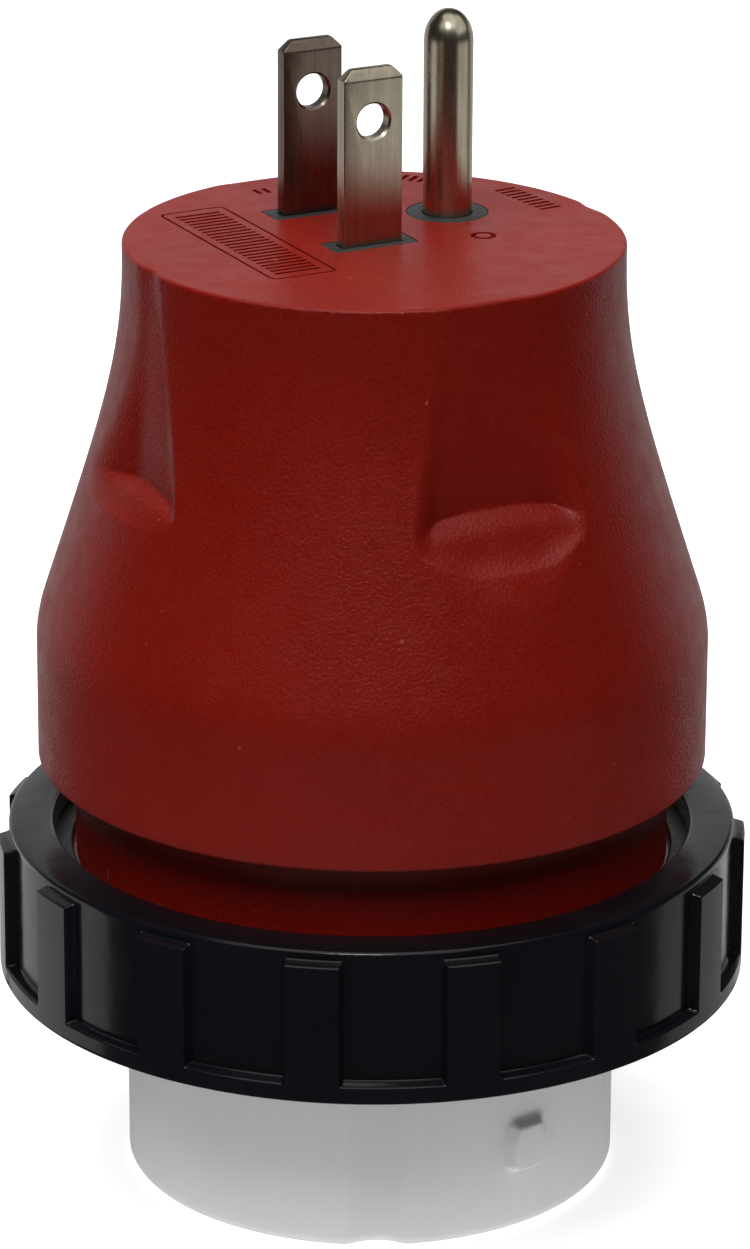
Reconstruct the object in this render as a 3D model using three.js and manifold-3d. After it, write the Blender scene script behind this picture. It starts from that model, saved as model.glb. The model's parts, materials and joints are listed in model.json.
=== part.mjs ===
// Moulded power adapter for recreational vehicles: a 15 A straight-blade plug on top, a red moulded
// grip, and a 50 A twist-lock connector with a loose locking ring at the bottom.
//
// Millimetres, +Z up. The origin is the centre of the connector's face, which the adapter stands on,
// and +Z runs up through the prongs. The blades are wide along X and the ground pin is on their +X side.
// Angles are in degrees about Z, counted from +X.

import * as THREE from 'three';
import { mergeVertices } from 'three/addons/utils/BufferGeometryUtils.js';
import Module from 'manifold-3d';

const wasm = await Module();
wasm.setup();

// ---------------------------------------------------------------- driving dimensions

const plugFaceZ = 96;
const plugFaceRadius = 24.4;
const gripBottomZ = 60;
const gripBottomRadius = 32.35;
const skirtTopZ = 55.5;
const skirtTangentZ = 57.6;
const skirtRadius = 33.15;
const skirtBottomZ = 43.4;
const flareLower = { radius: 25.95, z: 79.7 };
const flareUpper = { radius: 24.25, z: 85 };
const gripRows = 13;
const edgeRound = 0.4;
const neckRadius = 29.5;

const scoopCount = 4;
const scoopFloorTopRadius = 24.05;
const scoopFloorRadius = 23.5;
const scoopFloorEndZ = 77;
const scoopFloorHalfWidth = 7.5;
const scoopSideRound = 3.2;
const scoopLedgeRound = 6.5;

const chamberRadius = 25.6;
const chamberShoulderZ = 58;
const chamberThroatZ = 74;
const chamberThroatRadius = 18.2;
const chamberCeilingZ = 89;

const bridgeRadius = 17.8;
const bridgeBottomZ = 84;
const prongCentreX = -1.2;
const prongCentreY = 5.1;
const bladeSpacing = 12.7;
const bladeWidth = 6.35;
const bladeThickness = 1.5;
const bladeLength = 17.4;
const bladeHoleRadius = 1.7;
const bladeHoleHeight = 12.2;
const bladeCornerCut = 1;
const bladeTailWidth = 3.2;
const tailBottomZ = 78;
const pinTailRadius = 1.2;
const pinOffset = 11.9;
const pinRadius = 2.415;
const pinLength = 20.4;
const padWidth = 8.9;
const padThickness = 3.6;
const pinPadRadius = 4;
const prongGap = 0.2;
const padGap = 0.3;

const barrelRadius = 24.5;
const barrelEdgeRound = 0.9;
const shoulderRadius = 32.6;
const shoulderTopZ = 33;
const shoulderThickness = 4;
const coverRecessRadius = 22;
const coverBottomZ = 28;
const keywayAngle = -116;
const keywayWidth = 5.6;
const keywayDepth = 1.1;
const bossAngle = -79;
const bossWidth = 4.2;
const bossBottomZ = 6.4;
const bossTopZ = 11.9;
const bossHeight = 1;

const slotRadius = 15.3;
const slotWidth = 2.4;
const slotHalfAngle = 23;
const slotFaceThickness = 3.5;
const neutralKeyReach = 1.6;
const neutralKeyAngle = 8;
const contactAngles = { line_1: 34, line_2: 146, neutral: -90 };
const cavityWidth = 5.6;
const cavityHalfAngle = 28;
const leafThickness = 0.8;
const leafHalfAngle = 24;
const leafBottomZ = 6;
const webTopZ = 26;
const webThickness = 1.4;
const postWidth = 5;
const postThickness = 1.4;
const tabBottomZ = 33.4;
const tabThickness = 1.2;
const tabInnerRadius = 7;
const terminalScrewRadius = 9.6;

const clipAngle = 64;
const clipWidth = 7;
const clipThickness = 0.9;
const clipBottomZ = 4.6;
const clipPocketTopZ = 24;
const clipBow = 1.4;
const clipInnerRadius = 23.2;
const clipTabInnerRadius = 15.6;
const clipScrewRadius = 17.8;

const coverScrewRadius = 18.6;
const coverScrewAngles = [-18, 90, 198];
const fittingGap = 0.3;
const terminalShankRadius = 1.5;
const terminalHeadRadius = 2.7;
const terminalScrewLength = 5.5;
const coverShankRadius = 1.3;
const coverHeadRadius = 2.5;
const coverScrewLength = 11;
const screwHeadHeight = 1.6;
const terminalHoleRadius = terminalShankRadius + fittingGap;
const coverHoleRadius = coverShankRadius + fittingGap;

const gasketThickness = 1.6;
const gasketInnerRadius = 24.9;
const gasketOuterRadius = 32.2;
const washerThickness = 0.9;
const washerInnerRadius = 29.9;
const washerOuterRadius = 32.5;
const slideGap = 0.1;

const ringHeight = 15.3;
const ringLipThickness = 2.4;
const ringBoreRadius = 31.7;
const ringPanelRadius = 36.2;
const ringRibRadius = 37.3;
const ringBandHeight = 2;
const ringRibTopGap = 1.1;
const ringRibCount = 15;
const ringRibHalfAngle = 4.3;
const ringEdge = 0.5;
const ringFirstRibAngle = -6.3;
const threadRootRadius = 33.9;
const threadCrestRadius = 33.1;
const threadPitch = 3.4;
const threadTurns = 2;
const threadBottom = 0.9;

const crimpRadius = 2.6;
const crimpBoreRadius = 2.1;
const crimpTopZ = 83;
const crimpBottomZ = 73;
const crimpBoreTopZ = 78;
const leadRadius = 1.75;
const leadTopZ = 76;

const roundSegments = 48;
const smallSegments = 16;

// ---------------------------------------------------------------- shapes and solids

const radians = THREE.MathUtils.degToRad;

/** A point at a radius and an angle in degrees, at height z. */
function polar(radius, degrees, z = 0) {
  const angle = radians(degrees);
  return new THREE.Vector3(radius * Math.cos(angle), radius * Math.sin(angle), z);
}

/** Turns a closed three.js geometry into a manifold solid. */
function solid(geometry) {
  const bare = geometry.clone();
  bare.deleteAttribute('normal');
  bare.deleteAttribute('uv');
  const merged = mergeVertices(bare, 1e-4);
  return new wasm.Manifold(new wasm.Mesh({
    numProp: 3,
    vertProperties: new Float32Array(merged.attributes.position.array),
    triVerts: new Uint32Array(merged.index.array),
  }));
}

/** Turns a manifold solid back into a three.js geometry. */
function geometryOf(manifold) {
  const result = manifold.getMesh();
  const geometry = new THREE.BufferGeometry();
  geometry.setAttribute('position', new THREE.BufferAttribute(new Float32Array(result.vertProperties), 3));
  geometry.setIndex(new THREE.BufferAttribute(new Uint32Array(result.triVerts), 1));
  geometry.computeVertexNormals();
  return geometry;
}

/** The first geometry with all the others cut out of it. */
function cut(base, ...tools) {
  return geometryOf(tools.reduce((left, tool) => left.subtract(solid(tool)), solid(base)));
}

/** All the geometries joined into one. */
function join(base, ...others) {
  return geometryOf(others.reduce((whole, other) => whole.add(solid(other)), solid(base)));
}

/** A solid of revolution about Z from [radius, height] pairs that run up its outside. */
function turned(profile, segments = roundSegments) {
  const points = profile.map(([radius, height]) => new THREE.Vector2(radius, height));
  return new THREE.LatheGeometry(points, segments).rotateX(Math.PI / 2);
}

/** A round bar between two heights, centred on x, y. */
function bar(radius, bottomZ, topZ, x = 0, y = 0, segments = smallSegments) {
  const geometry = new THREE.CylinderGeometry(radius, radius, topZ - bottomZ, segments);
  return geometry.rotateX(Math.PI / 2).translate(x, y, (bottomZ + topZ) / 2);
}

/** A box by its size and centre in plan, between two heights. */
function block(width, depth, bottomZ, topZ, x = 0, y = 0) {
  return new THREE.BoxGeometry(width, depth, topZ - bottomZ).translate(x, y, (bottomZ + topZ) / 2);
}

/** A box along a radius, from one radius to another, turned to an angle. */
function radialBlock(innerRadius, outerRadius, width, bottomZ, topZ, degrees) {
  const middle = (innerRadius + outerRadius) / 2;
  const geometry = block(outerRadius - innerRadius, width, bottomZ, topZ, middle, 0);
  return geometry.rotateZ(radians(degrees));
}

/** A piece of a ring between two radii, two angles and two heights. */
function sector(innerRadius, outerRadius, fromDegrees, toDegrees, bottomZ, topZ, segments = 4) {
  const shape = new THREE.Shape();
  shape.absarc(0, 0, outerRadius, radians(fromDegrees), radians(toDegrees), false);
  shape.absarc(0, 0, innerRadius, radians(toDegrees), radians(fromDegrees), true);
  const geometry = new THREE.ExtrudeGeometry(shape, {
    depth: topZ - bottomZ,
    bevelEnabled: false,
    curveSegments: segments,
  });
  return geometry.translate(0, 0, bottomZ);
}

/** Heights and radii along a cubic curve, with its first point left out. */
function curvePoints(curve, count) {
  return curve.getPoints(count).slice(1).map((point) => [point.x, point.y]);
}

/** Profile points of a quarter round with its first point left out. */
function quarterRound(centreRadius, centreZ, radius, fromDegrees, toDegrees, count = 3) {
  const points = [];
  for (let step = 1; step <= count; step += 1) {
    const angle = radians(fromDegrees + (toDegrees - fromDegrees) * step / count);
    points.push([centreRadius + radius * Math.cos(angle), centreZ + radius * Math.sin(angle)]);
  }
  return points;
}

// ---------------------------------------------------------------- materials

const finishes = {
  redVinyl: { color: 0x7a1611, roughness: 0.55, metalness: 0 },
  darkNylon: { color: 0x4b4e50, roughness: 0.6, metalness: 0 },
  nickel: { color: 0xb9b2a6, roughness: 0.3, metalness: 1 },
  whiteNylon: { color: 0xd6d4cd, roughness: 0.45, metalness: 0 },
  blackNylon: { color: 0x141518, roughness: 0.25, metalness: 0 },
  rubber: { color: 0x232323, roughness: 0.8, metalness: 0 },
  washerPlastic: { color: 0x262627, roughness: 0.45, metalness: 0 },
  brass: { color: 0xb58b3c, roughness: 0.35, metalness: 1 },
  steel: { color: 0x9c9c9c, roughness: 0.35, metalness: 1 },
  blackLead: { color: 0x1a1a1a, roughness: 0.5, metalness: 0 },
  whiteLead: { color: 0xe8e6e0, roughness: 0.5, metalness: 0 },
  greenLead: { color: 0x1c6b35, roughness: 0.5, metalness: 0 },
};

/** A named mesh with its own standard material. */
function part(name, finish, geometry) {
  const mesh = new THREE.Mesh(geometry, new THREE.MeshStandardMaterial(finishes[finish]));
  mesh.name = name;
  return mesh;
}

// ---------------------------------------------------------------- plug end

const frontBladeY = prongCentreY - bladeSpacing / 2;
const rearBladeY = prongCentreY + bladeSpacing / 2;
const pinX = prongCentreX + pinOffset;

/** How far a scoop's surface is from the axis, at a place across it and a height. */
function scoopFloor(across, z) {
  const lean = (scoopFloorTopRadius - scoopFloorRadius) / (plugFaceZ - scoopFloorEndZ);
  const flat = scoopFloorRadius + lean * Math.max(0, z - scoopFloorEndZ);
  const side = Math.max(0, Math.abs(across) - scoopFloorHalfWidth) / scoopSideRound;
  const ledge = Math.max(0, scoopFloorEndZ - z) / scoopLedgeRound;
  const outward = Math.min(1, Math.hypot(side, ledge));
  return flat + scoopLedgeRound * (1 - Math.sqrt(1 - outward * outward));
}

/** Presses the finger scoops into the outside of the grip, and leaves the chamber inside it alone. */
function pressScoops(geometry) {
  const step = 2 * Math.PI / scoopCount;
  const position = geometry.attributes.position;
  const point = new THREE.Vector3();
  for (let index = 0; index < position.count; index += 1) {
    point.fromBufferAttribute(position, index);
    const radius = Math.hypot(point.x, point.y);
    if (radius > chamberThroatRadius + 1 && point.z > scoopFloorEndZ - scoopLedgeRound) {
      const angle = Math.atan2(point.y, point.x);
      const fromMiddle = angle - Math.round(angle / step) * step;
      const floor = scoopFloor(radius * Math.sin(fromMiddle), point.z) / Math.cos(fromMiddle);
      const scale = Math.min(1, floor / radius);
      position.setXY(index, point.x * scale, point.y * scale);
    }
  }
  return geometry;
}

function overmoldBody() {
  const shoulder = new THREE.QuadraticBezierCurve(
    new THREE.Vector2(skirtRadius, skirtTopZ),
    new THREE.Vector2(skirtRadius, skirtTangentZ),
    new THREE.Vector2(gripBottomRadius, gripBottomZ),
  );
  const flare = new THREE.CubicBezierCurve(
    new THREE.Vector2(gripBottomRadius, gripBottomZ),
    new THREE.Vector2(flareLower.radius, flareLower.z),
    new THREE.Vector2(flareUpper.radius, flareUpper.z),
    new THREE.Vector2(plugFaceRadius, plugFaceZ - edgeRound),
  );
  const outside = turned([
    [0, chamberCeilingZ],
    [chamberThroatRadius, chamberCeilingZ],
    [chamberThroatRadius, chamberThroatZ],
    [chamberRadius, chamberShoulderZ],
    [chamberRadius, shoulderTopZ],
    [neckRadius, shoulderTopZ],
    [neckRadius, skirtBottomZ],
    [skirtRadius - edgeRound, skirtBottomZ],
    ...quarterRound(skirtRadius - edgeRound, skirtBottomZ + edgeRound, edgeRound, -90, 0, 2),
    [skirtRadius, skirtTopZ],
    ...curvePoints(shoulder, 3),
    ...curvePoints(flare, gripRows),
    ...quarterRound(plugFaceRadius - edgeRound, plugFaceZ - edgeRound, edgeRound, 0, 90, 2),
    [0, plugFaceZ],
  ]);
  const through = [chamberCeilingZ - 1, plugFaceZ + 1];
  const holeWidth = padWidth + 2 * padGap;
  const holeThickness = padThickness + 2 * padGap;
  return cut(
    pressScoops(outside),
    block(holeWidth, holeThickness, ...through, prongCentreX, frontBladeY),
    block(holeWidth, holeThickness, ...through, prongCentreX, rearBladeY),
    bar(pinPadRadius + padGap, ...through, pinX, prongCentreY, 24),
  );
}

function plugBridge() {
  const through = [bridgeBottomZ - 1, plugFaceZ + 1];
  const slotLength = bladeWidth + 2 * prongGap;
  const slotThickness = bladeThickness + 2 * prongGap;
  const solidBridge = join(
    bar(bridgeRadius, bridgeBottomZ, chamberCeilingZ, 0, 0, 36),
    block(padWidth, padThickness, bridgeBottomZ, plugFaceZ, prongCentreX, frontBladeY),
    block(padWidth, padThickness, bridgeBottomZ, plugFaceZ, prongCentreX, rearBladeY),
    bar(pinPadRadius, bridgeBottomZ, plugFaceZ, pinX, prongCentreY, 24),
  );
  return cut(
    solidBridge,
    block(slotLength, slotThickness, ...through, prongCentreX, frontBladeY),
    block(slotLength, slotThickness, ...through, prongCentreX, rearBladeY),
    bar(pinRadius + prongGap, ...through, pinX, prongCentreY, smallSegments),
  );
}

/** A flat blade with cut corners, a hole near its tip and a narrow tail for its crimp. */
function blade(y) {
  const half = bladeWidth / 2;
  const tipZ = plugFaceZ + bladeLength;
  const tailTopZ = bridgeBottomZ;
  const shape = new THREE.Shape([
    new THREE.Vector2(-bladeTailWidth / 2, tailBottomZ),
    new THREE.Vector2(bladeTailWidth / 2, tailBottomZ),
    new THREE.Vector2(bladeTailWidth / 2, tailTopZ),
    new THREE.Vector2(half, tailTopZ),
    new THREE.Vector2(half, tipZ - bladeCornerCut),
    new THREE.Vector2(half - bladeCornerCut, tipZ),
    new THREE.Vector2(bladeCornerCut - half, tipZ),
    new THREE.Vector2(-half, tipZ - bladeCornerCut),
    new THREE.Vector2(-half, tailTopZ),
    new THREE.Vector2(-bladeTailWidth / 2, tailTopZ),
  ]);
  const hole = new THREE.Path();
  hole.absarc(0, plugFaceZ + bladeHoleHeight, bladeHoleRadius, 0, 2 * Math.PI, false);
  shape.holes.push(hole);
  const geometry = new THREE.ExtrudeGeometry(shape, {
    depth: bladeThickness,
    bevelEnabled: false,
    curveSegments: 8,
  });
  return geometry.rotateX(Math.PI / 2).translate(prongCentreX, y + bladeThickness / 2, 0);
}

/** The round pin with its domed tip and a thinner tail. */
function groundPin() {
  const domeCentreZ = plugFaceZ + pinLength - pinRadius;
  return turned([
    [0, tailBottomZ],
    [pinTailRadius, tailBottomZ],
    [pinTailRadius, bridgeBottomZ],
    [pinRadius, bridgeBottomZ],
    [pinRadius, domeCentreZ],
    ...quarterRound(0, domeCentreZ, pinRadius, 0, 90, 5),
  ], smallSegments).translate(pinX, prongCentreY, 0);
}

/** A crimp barrel on a prong's tail, bored from below for its conductor. */
function crimp(x, y) {
  const tailRoom = block(bladeTailWidth + 2 * prongGap, bladeThickness + 2 * prongGap, crimpBoreTopZ - 1,
    crimpTopZ + 1, x, y);
  const pinRoom = bar(pinTailRadius + prongGap, crimpBoreTopZ - 1, crimpTopZ + 1, x, y);
  return cut(
    bar(crimpRadius, crimpBottomZ, crimpTopZ, x, y),
    bar(crimpBoreRadius, crimpBottomZ - 1, crimpBoreTopZ, x, y),
    x === pinX ? pinRoom : tailRoom,
  );
}

// ---------------------------------------------------------------- connector end

const shoulderBottomZ = shoulderTopZ - shoulderThickness;
const contactNames = Object.keys(contactAngles);

/** Runs a function for each contact and gathers the results. */
function eachContact(make) {
  return contactNames.map((name) => make(contactAngles[name], name));
}

function connectorBarrel() {
  const body = turned([
    [0, 0],
    [barrelRadius - barrelEdgeRound, 0],
    ...quarterRound(barrelRadius - barrelEdgeRound, barrelEdgeRound, barrelEdgeRound, -90, 0, 3),
    [barrelRadius, shoulderBottomZ],
    [shoulderRadius, shoulderBottomZ],
    [shoulderRadius, shoulderTopZ],
    [coverRecessRadius, shoulderTopZ],
    [coverRecessRadius, coverBottomZ],
    [0, coverBottomZ],
  ]);
  const boss = radialBlock(barrelRadius - 1, barrelRadius + bossHeight, bossWidth, bossBottomZ, bossTopZ,
    bossAngle);
  const keywayRadius = (keywayWidth ** 2 / 4 + keywayDepth ** 2) / (2 * keywayDepth);
  const keywayCentre = polar(barrelRadius - keywayDepth + keywayRadius, keywayAngle);
  const keyway = bar(keywayRadius, -1, shoulderBottomZ - 1, keywayCentre.x, keywayCentre.y, 24);
  const slots = eachContact((angle) => sector(
    slotRadius - slotWidth / 2, slotRadius + slotWidth / 2,
    angle - slotHalfAngle, angle + slotHalfAngle, -1, slotFaceThickness + 1,
  ));
  const neutralEnd = contactAngles.neutral + slotHalfAngle;
  const neutralKey = sector(slotRadius, slotRadius + slotWidth / 2 + neutralKeyReach,
    neutralEnd - neutralKeyAngle, neutralEnd, -1, slotFaceThickness + 1, 1);
  const cavities = eachContact((angle) => sector(
    slotRadius - cavityWidth / 2, slotRadius + cavityWidth / 2,
    angle - cavityHalfAngle, angle + cavityHalfAngle, slotFaceThickness, coverBottomZ + 1,
  ));
  const clipPocket = radialBlock(clipInnerRadius - fittingGap, barrelRadius + 1, clipWidth + 2 * fittingGap,
    clipBottomZ - fittingGap, clipPocketTopZ, clipAngle);
  const clipChannel = radialBlock(clipInnerRadius - fittingGap,
    clipInnerRadius + clipThickness + fittingGap, clipWidth + 2 * fittingGap, clipBottomZ, shoulderTopZ + 1,
    clipAngle);
  const screwHoles = coverScrewAngles.map((angle) => {
    const place = polar(coverScrewRadius, angle);
    return bar(coverHoleRadius, coverBottomZ - 8, coverBottomZ + 1, place.x, place.y, 12);
  });
  return cut(join(body, boss), keyway, neutralKey, clipPocket, clipChannel, ...slots, ...cavities,
    ...screwHoles);
}

function contactCover() {
  const postSlots = eachContact((angle) => radialBlock(
    slotRadius - postThickness / 2 - fittingGap, slotRadius + postThickness / 2 + fittingGap,
    postWidth + 2 * fittingGap, coverBottomZ - 1, shoulderTopZ + 1, angle,
  ));
  const terminalHoles = eachContact((angle) => {
    const place = polar(terminalScrewRadius, angle);
    return bar(terminalHoleRadius, coverBottomZ - 1, shoulderTopZ + 1, place.x, place.y, 12);
  });
  const groundPlace = polar(clipScrewRadius, clipAngle);
  const coverHoles = coverScrewAngles.map((angle) => {
    const place = polar(coverScrewRadius, angle);
    return bar(coverHoleRadius, coverBottomZ - 1, shoulderTopZ + 1, place.x, place.y, 12);
  });
  return cut(
    bar(coverRecessRadius - fittingGap, coverBottomZ, shoulderTopZ, 0, 0, 48),
    ...postSlots, ...terminalHoles, ...coverHoles,
    bar(terminalHoleRadius, coverBottomZ - 1, shoulderTopZ + 1, groundPlace.x, groundPlace.y, 12),
  );
}

/** Two curved leaves that grip a blade, their web, and a post that bends over to the terminal. */
function contact(angle) {
  const outerLeaf = slotRadius + slotWidth / 2 + leafThickness;
  const innerLeaf = slotRadius - slotWidth / 2 - leafThickness;
  const from = angle - leafHalfAngle;
  const to = angle + leafHalfAngle;
  const webBottomZ = webTopZ - webThickness;
  const body = join(
    sector(outerLeaf - leafThickness, outerLeaf, from, to, leafBottomZ, webTopZ),
    sector(innerLeaf, innerLeaf + leafThickness, from, to, leafBottomZ, webTopZ),
    sector(innerLeaf + 0.1, outerLeaf - 0.1, from + 0.2, to - 0.2, webBottomZ, webTopZ),
    radialBlock(slotRadius - postThickness / 2, slotRadius + postThickness / 2, postWidth, webBottomZ,
      tabBottomZ + tabThickness, angle),
    radialBlock(tabInnerRadius, slotRadius + postThickness / 2, postWidth, tabBottomZ,
      tabBottomZ + tabThickness, angle),
  );
  const place = polar(terminalScrewRadius, angle);
  return cut(body, bar(terminalHoleRadius, tabBottomZ - 1, tabBottomZ + 3, place.x, place.y, 12));
}

/** The ground strip on the barrel's outside, with a bowed middle and a tab over the cover. */
function groundClip() {
  const bow = new THREE.Shape();
  bow.moveTo(clipInnerRadius, clipBottomZ);
  bow.lineTo(clipInnerRadius + clipThickness, clipBottomZ);
  bow.quadraticCurveTo(barrelRadius + clipBow, (clipBottomZ + clipPocketTopZ) / 2,
    clipInnerRadius + clipThickness, clipPocketTopZ - 0.6);
  bow.lineTo(clipInnerRadius + clipThickness, tabBottomZ + tabThickness);
  bow.lineTo(clipTabInnerRadius, tabBottomZ + tabThickness);
  bow.lineTo(clipTabInnerRadius, tabBottomZ);
  bow.lineTo(clipInnerRadius, tabBottomZ);
  const strip = new THREE.ExtrudeGeometry(bow, { depth: clipWidth, bevelEnabled: false, curveSegments: 8 });
  strip.translate(0, 0, -clipWidth / 2).rotateX(Math.PI / 2).rotateZ(radians(clipAngle));
  const place = polar(clipScrewRadius, clipAngle);
  return cut(strip, bar(terminalHoleRadius, tabBottomZ - 1, tabBottomZ + 3, place.x, place.y, 12));
}

/** A pan-head screw standing at a radius and angle, with its head resting at headZ. */
function screw(radius, angle, headZ, shankRadius, headRadius, length) {
  const place = polar(radius, angle);
  const drive = block(headRadius * 1.5, 0.7, headZ + screwHeadHeight - 0.6, headZ + screwHeadHeight + 1);
  const body = turned([
    [0, headZ - length],
    [shankRadius, headZ - length],
    [shankRadius, headZ],
    [headRadius, headZ],
    [headRadius, headZ + screwHeadHeight * 0.6],
    [headRadius * 0.6, headZ + screwHeadHeight],
    [0, headZ + screwHeadHeight],
  ], 12);
  return cut(body, drive).rotateZ(radians(angle)).translate(place.x, place.y, 0);
}

// ---------------------------------------------------------------- ring, seal and washer

const ringTopZ = shoulderTopZ + 2 * slideGap + washerThickness + ringLipThickness;
const ringBottomZ = ringTopZ - ringHeight;

/** A flat ring between two radii and two heights. */
function flatRing(innerRadius, outerRadius, bottomZ, topZ) {
  return turned([
    [innerRadius, bottomZ],
    [outerRadius, bottomZ],
    [outerRadius, topZ],
    [innerRadius, topZ],
    [innerRadius, bottomZ],
  ]);
}

function lockingRing() {
  const lipBottomZ = ringTopZ - ringLipThickness;
  const threads = [];
  for (let turn = threadTurns - 1; turn >= 0; turn -= 1) {
    const z = ringBottomZ + threadBottom + turn * threadPitch;
    threads.push([threadRootRadius, z + threadPitch * 0.8]);
    threads.push([threadCrestRadius, z + threadPitch * 0.55]);
    threads.push([threadCrestRadius, z + threadPitch * 0.35]);
    threads.push([threadRootRadius, z + threadPitch * 0.1]);
  }
  const body = turned([
    [threadRootRadius, ringBottomZ],
    [ringRibRadius - ringEdge, ringBottomZ],
    [ringRibRadius, ringBottomZ + ringEdge],
    [ringRibRadius, ringBottomZ + ringBandHeight],
    [ringPanelRadius, ringBottomZ + ringBandHeight],
    [ringPanelRadius, ringTopZ - ringEdge],
    [ringPanelRadius - ringEdge, ringTopZ],
    [ringBoreRadius, ringTopZ],
    [ringBoreRadius, lipBottomZ],
    [threadRootRadius, lipBottomZ],
    ...threads,
    [threadRootRadius, ringBottomZ],
  ]);
  const ribs = [];
  for (let index = 0; index < ringRibCount; index += 1) {
    const angle = ringFirstRibAngle + index * 360 / ringRibCount;
    ribs.push(sector(ringPanelRadius - 0.6, ringRibRadius, angle - ringRibHalfAngle,
      angle + ringRibHalfAngle, ringBottomZ + 1, ringTopZ - ringRibTopGap, 1));
  }
  return join(body, ...ribs);
}

// ---------------------------------------------------------------- conductors

/** An insulated conductor along a smooth curve through the given points. */
function lead(points) {
  const section = new THREE.Shape();
  section.absarc(0, 0, leadRadius, 0, 2 * Math.PI, false);
  return new THREE.ExtrudeGeometry(section, {
    steps: 14,
    curveSegments: 4,
    bevelEnabled: false,
    extrudePath: new THREE.CatmullRomCurve3(points, false, 'centripetal'),
  });
}

const leadEndZ = tabBottomZ + tabThickness + leadRadius + 0.5;

/** The end of a conductor, beside a terminal screw and just above its tab. */
function terminalEnd(angle, radius) {
  return [polar(radius, angle, leadEndZ + 5), polar(radius, angle, leadEndZ)];
}

function hotLead() {
  return lead([
    new THREE.Vector3(prongCentreX, frontBladeY, leadTopZ),
    new THREE.Vector3(prongCentreX, frontBladeY, 68),
    new THREE.Vector3(4, -2, 56),
    ...terminalEnd(contactAngles.line_1, 14.2),
  ]);
}

function hotJumper() {
  const from = polar(14.2, contactAngles.line_2);
  const to = polar(9.4, contactAngles.line_1 + 38);
  return lead([
    from.clone().setZ(leadEndZ),
    from.clone().setZ(leadEndZ + 5),
    new THREE.Vector3(-4, 12, leadEndZ + 9),
    to.clone().setZ(leadEndZ + 5),
    to.clone().setZ(leadEndZ),
  ]);
}

function neutralLead() {
  return lead([
    new THREE.Vector3(prongCentreX, rearBladeY, leadTopZ),
    new THREE.Vector3(prongCentreX, rearBladeY, 68),
    new THREE.Vector3(-11, 4, 58),
    new THREE.Vector3(-8, -8, 48),
    ...terminalEnd(contactAngles.neutral, 14.2),
  ]);
}

function groundLead() {
  return lead([
    new THREE.Vector3(pinX, prongCentreY, leadTopZ),
    new THREE.Vector3(pinX, prongCentreY, 68),
    new THREE.Vector3(13, 13, 54),
    polar(21.4, clipAngle + 4, leadEndZ + 6),
    polar(21.4, clipAngle + 4, leadEndZ),
  ]);
}

// ---------------------------------------------------------------- assembly

const adapter = new THREE.Group();

adapter.add(
  part('overmold_body', 'redVinyl', overmoldBody()),
  part('plug_bridge', 'darkNylon', plugBridge()),
  part('hot_blade', 'nickel', blade(frontBladeY)),
  part('neutral_blade', 'nickel', blade(rearBladeY)),
  part('ground_pin', 'nickel', groundPin()),
  part('hot_crimp', 'brass', crimp(prongCentreX, frontBladeY)),
  part('neutral_crimp', 'brass', crimp(prongCentreX, rearBladeY)),
  part('ground_crimp', 'brass', crimp(pinX, prongCentreY)),
  part('hot_lead', 'blackLead', hotLead()),
  part('hot_jumper', 'blackLead', hotJumper()),
  part('neutral_lead', 'whiteLead', neutralLead()),
  part('ground_lead', 'greenLead', groundLead()),
  part('connector_barrel', 'whiteNylon', connectorBarrel()),
  part('contact_cover', 'darkNylon', contactCover()),
  part('ground_clip', 'brass', groundClip()),
  part('face_gasket', 'rubber', flatRing(gasketInnerRadius, gasketOuterRadius,
    shoulderBottomZ - gasketThickness, shoulderBottomZ)),
  part('slip_washer', 'washerPlastic', flatRing(washerInnerRadius, washerOuterRadius,
    shoulderTopZ + slideGap, shoulderTopZ + slideGap + washerThickness)),
  part('locking_ring', 'blackNylon', lockingRing()),
);

const terminalHeadZ = tabBottomZ + tabThickness;

for (const name of contactNames) {
  const angle = contactAngles[name];
  adapter.add(
    part(`contact_${name}`, 'brass', contact(angle)),
    part(`terminal_screw_${name}`, 'steel',
      screw(terminalScrewRadius, angle, terminalHeadZ, terminalShankRadius, terminalHeadRadius,
        terminalScrewLength)),
  );
}

adapter.add(part('terminal_screw_ground', 'steel',
  screw(clipScrewRadius, clipAngle, terminalHeadZ, terminalShankRadius, terminalHeadRadius,
    terminalScrewLength)));

coverScrewAngles.forEach((angle, index) => {
  adapter.add(part(`cover_screw_${index + 1}`, 'steel',
    screw(coverScrewRadius, angle, shoulderTopZ, coverShankRadius, coverHeadRadius, coverScrewLength)));
});

export default adapter;
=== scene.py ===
import json
from math import cos, radians, sin

import bpy
import numpy as np
from mathutils import Matrix, Vector


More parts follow.
